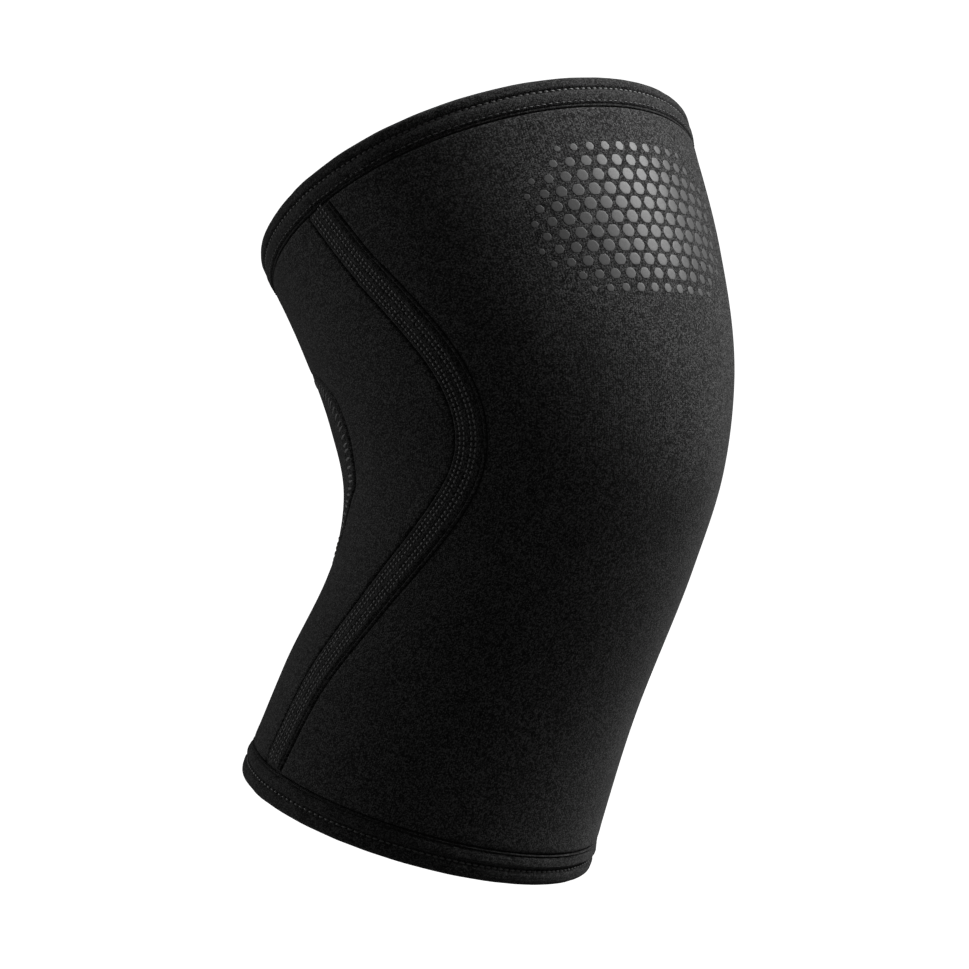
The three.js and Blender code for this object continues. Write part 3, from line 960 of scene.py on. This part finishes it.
def relief_and_shade(tree, shader, height, depth, strength, color, shade):
    """Links a surface's relief, depth millimetres high, and its colour, lightened and darkened by shade."""
    bump = node(tree, "ShaderNodeBump", {"Height": height, "Distance": depth * MM, "Strength": strength})
    tree.links.new(bump.outputs[0], shader.inputs["Normal"])
    tinted = node(tree, "ShaderNodeVectorMath", {0: color, "Scale": shade}, operation="SCALE").outputs[0]
    tree.links.new(tinted, shader.inputs["Base Color"])


LOOP_SIZE = 0.36  # of a light or dark fleck in the knit
FLECK_CONTRAST = 2.4
KNIT_RELIEF = 0.08


def knit_material(name, color, wale, course, roughness):
    """A fine knit: ribs of loops wale apart, rows course apart, light and dark yarn, painted shade in the
    valleys between its ribs and a soft sheen.
    """
    material, tree, shader = new_material(name, color, roughness, 0.05, 0.04)
    place = node(tree, "ShaderNodeAttribute", attribute_name="cloth_place").outputs["Vector"]
    parts = node(tree, "ShaderNodeSeparateXYZ", {0: place}).outputs
    shifted = math_node(tree, "MULTIPLY_ADD", noise(tree, place, 0.35, 2.0), 1.1, parts[0])
    across = math_node(tree, "MULTIPLY", shifted, math.pi / wale)
    rib = math_node(tree, "ABSOLUTE", math_node(tree, "SINE", across))
    along = math_node(tree, "MULTIPLY", parts[1], 2 * math.pi / course)
    loop = math_node(tree, "SINE", math_node(tree, "MULTIPLY_ADD", rib, 2.4, along))
    fuzz = noise(tree, place, 1.5, 4.0, 0.8)
    inputs = {"Vector": place, "Scale": 1 / LOOP_SIZE}
    cells = node(tree, "ShaderNodeTexVoronoi", inputs, voronoi_dimensions="2D")
    fleck = node(tree, "ShaderNodeSeparateColor", {0: cells.outputs["Color"]}).outputs[0]
    height = math_node(tree, "MULTIPLY_ADD", loop, 0.15, math_node(tree, "MULTIPLY", rib, 0.5))
    height = math_node(tree, "MULTIPLY_ADD", fuzz, 0.9, height)
    height = math_node(tree, "MULTIPLY_ADD", fleck, 0.5, height)
    cloud = noise(tree, place, 0.045, 3.0)
    squared = math_node(tree, "POWER", fleck, 2.0)
    shade = math_node(tree, "MULTIPLY_ADD", squared, FLECK_CONTRAST, 1 - FLECK_CONTRAST / 3)
    # Painted shade: the colour is darker in the valleys between the ribs and lighter on their crests,
    # following the ribs' relief.
    shade = math_node(tree, "MULTIPLY", shade, math_node(tree, "MULTIPLY_ADD", rib, 0.4, 0.75))
    shade = math_node(tree, "MULTIPLY", shade, math_node(tree, "MULTIPLY_ADD", cloud, 0.5, 0.75))
    relief_and_shade(tree, shader, height, KNIT_RELIEF, 0.9, color, shade)
    rough = math_node(tree, "MULTIPLY_ADD", fuzz, 0.2, roughness - 0.1)
    tree.links.new(rough, shader.inputs["Roughness"])
    return material


def thread_material(name, color):
    """Twisted sewing thread with a slight gloss."""
    material, tree, shader = new_material(name, color, 0.5, 0.5, 0.2)
    place = node(tree, "ShaderNodeTexCoord").outputs["Object"]
    strand = noise(tree, place, 2600.0, 2.0)
    shade = math_node(tree, "MULTIPLY_ADD", strand, 0.9, 0.55)
    relief_and_shade(tree, shader, strand, 0.03, 0.7, color, shade)
    return material


def film_material(name, color):
    """Satin printed film with a faint grain from the cloth below."""
    material, tree, shader = new_material(name, color, 0.42, 0.2, 0.0)
    place = node(tree, "ShaderNodeTexCoord").outputs["Object"]
    grain = noise(tree, place, 1300.0, 3.0)
    shade = math_node(tree, "MULTIPLY_ADD", grain, 0.4, 0.8)
    relief_and_shade(tree, shader, grain, 0.02, 0.8, color, shade)
    return material


def paint(obj, material):
    """Gives a piece its material and its body."""
    obj.data.materials.clear()
    obj.data.materials.append(material)
    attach(obj, "root")
    return obj


# Camera: where the photograph was taken from
AZIMUTH = math.radians(-47.85)
ELEVATION = math.radians(-3.94)
DISTANCE = 1.5
LENS = 153.3
SENSOR = 36
SHIFT = (-0.049, 0.0)
BACK = Vector((
    math.sin(AZIMUTH) * math.cos(ELEVATION),
    -math.cos(AZIMUTH) * math.cos(ELEVATION),
    math.sin(ELEVATION),
))
RIGHT = Vector((math.cos(AZIMUTH), math.sin(AZIMUTH), 0))
UP = BACK.cross(RIGHT)


def make_camera():
    data = bpy.data.cameras.new("camera")
    data.lens = LENS
    data.sensor_width = SENSOR
    data.shift_x, data.shift_y = SHIFT
    data.clip_start = 0.05
    data.clip_end = 50
    camera = bpy.data.objects.new("camera", data)
    turned = Matrix((RIGHT, UP, BACK)).transposed().to_4x4()
    camera.matrix_world = Matrix.Translation(BACK * DISTANCE) @ turned
    bpy.context.scene.camera = link(camera)


def softbox(name, right, back, up, size, power):
    """A large soft lamp, placed right of the sleeve, towards the camera and above, and turned to it."""
    data = bpy.data.lights.new(name, "AREA")
    data.shape = "RECTANGLE"
    data.size, data.size_y = size
    data.energy = power
    lamp = bpy.data.objects.new(name, data)
    level_back = Vector((BACK.x, BACK.y, 0)).normalized()
    lamp.location = RIGHT * right + level_back * back + Vector((0, 0, up))
    lamp.rotation_mode = "QUATERNION"
    lamp.rotation_quaternion = lamp.location.to_track_quat("Z", "Y")
    link(lamp)


# Stage, in metres: its floor's level, its radius, the curve between floor and side, and its roof over that
FLOOR = -0.6
STAGE_RADIUS = 6.0
STAGE_CURVE = 2.0
STAGE_ROOF = 4.0
PALE = 0.86


def make_stage():
    """A pale floor that curves up into a pale surround on all sides."""
    flat = STAGE_RADIUS - STAGE_CURVE
    profile = [(r, 0.0) for r in np.linspace(0, flat, 12)]
    bend = np.linspace(0, math.pi / 2, 17)[1:]
    profile += [(flat + STAGE_CURVE * math.sin(t), STAGE_CURVE * (1 - math.cos(t))) for t in bend]
    dome = np.linspace(0, math.pi / 2, 20)[1:]
    profile += [(STAGE_RADIUS * math.cos(t), STAGE_CURVE + STAGE_ROOF * math.sin(t)) for t in dome]
    profile = np.array(profile)
    turn = np.linspace(0, 2 * math.pi, 96, endpoint=False)
    points = np.stack([
        profile[:, None, 0] * np.cos(turn),
        profile[:, None, 0] * np.sin(turn),
        np.broadcast_to(profile[:, None, 1] + FLOOR, (len(profile), len(turn))),
    ], -1) / MM
    faces = grid_faces(len(profile), len(turn), wrap_columns=True)
    obj = close_middle(new_object("surround", points, faces))
    obj.data.flip_normals()
    material = bpy.data.materials.new("pale_surround")
    material.use_nodes = True
    shader = material.node_tree.nodes["Principled BSDF"]
    shader.inputs["Base Color"].default_value = (PALE, PALE, PALE, 1)
    shader.inputs["Roughness"].default_value = 0.9
    shader.inputs["Emission Color"].default_value = (1, 1, 1, 1)
    shader.inputs["Emission Strength"].default_value = 1.0
    obj.data.materials.append(material)
    obj.visible_diffuse = False
    obj.visible_glossy = False
    obj.visible_shadow = False


WORLD_STRENGTH = 0.13
KEY_POWER = 70
FILL_POWER = 7.5


def make_light():
    world = bpy.data.worlds.new("studio")
    bpy.context.scene.world = world
    world.use_nodes = True
    background = world.node_tree.nodes["Background"]
    background.inputs["Color"].default_value = (1, 1, 1, 1)
    background.inputs["Strength"].default_value = WORLD_STRENGTH
    softbox("key", 1.15, 0.03, 1.28, (0.9, 1.2), KEY_POWER)
    softbox("fill", -1.5, -0.4, 0.35, (0.7, 1.2), FILL_POWER)
    bpy.context.scene.view_settings.view_transform = "Standard"


def grey(value):
    return value, value, value


def make_sleeve():
    """Every piece of the sleeve, with its material and its body; the solids that the pieces stand for are
    hidden.
    """
    jersey = knit_material("jersey", grey(0.0265), 0.8, 0.62, 0.85)
    tape = knit_material("tape", grey(0.023), 0.7, 0.5, 0.8)
    # Painted shade: the binding's grey is darker than the jersey's to stand in for the shade under the lower
    # hem, and it darkens the upper hem as well.
    binding = knit_material("binding", grey(0.021), 0.7, 0.55, 0.8)
    thread = thread_material("thread", grey(0.047))
    cover_thread = thread_material("cover_thread", grey(0.034))
    film = film_material("film", grey(0.06))

    front = paint(front_panel(), jersey)
    rear = paint(rear_panel(), jersey)
    insert = paint(insert_panel(), jersey)
    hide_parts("front_panel")
    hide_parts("rear_panel")
    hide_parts("knee_hollow_insert")

    paint(insert_stitches("insert_stitches"), cover_thread)
    for side, word in ((1, "left"), (-1, "right")):
        tape_piece = paint(side_band(f"band_{word}", side), tape)
        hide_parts(f"side_band_{word}")
        sewn = paint(band_stitches(f"band_stitches_{word}", side), thread)
    for word, height_of, depth, row, valley, cord in (
        ("top", top_height, TOP_HEM_DEPTH, TOP_HEM_ROW, 0.15, -0.3),
        ("bottom", bottom_height, BOTTOM_HEM_DEPTH, BOTTOM_HEM_ROW, -0.75, 0.15),
    ):
        shape = (height_of, depth, row, valley, cord)
        piece = paint(hem(f"{word}_binding", *shape), binding)
        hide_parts(f"{word}_hem")
        threads = hem_stitches(f"{word}_stitches", *shape, fine_row=word == "top")
        sewn = paint(threads, thread)
        girth = float(rim_along(height_of, row)[0][-1])
    paint(print_dots("print_dots"), film)


make_camera()
make_stage()
make_light()
make_sleeve()
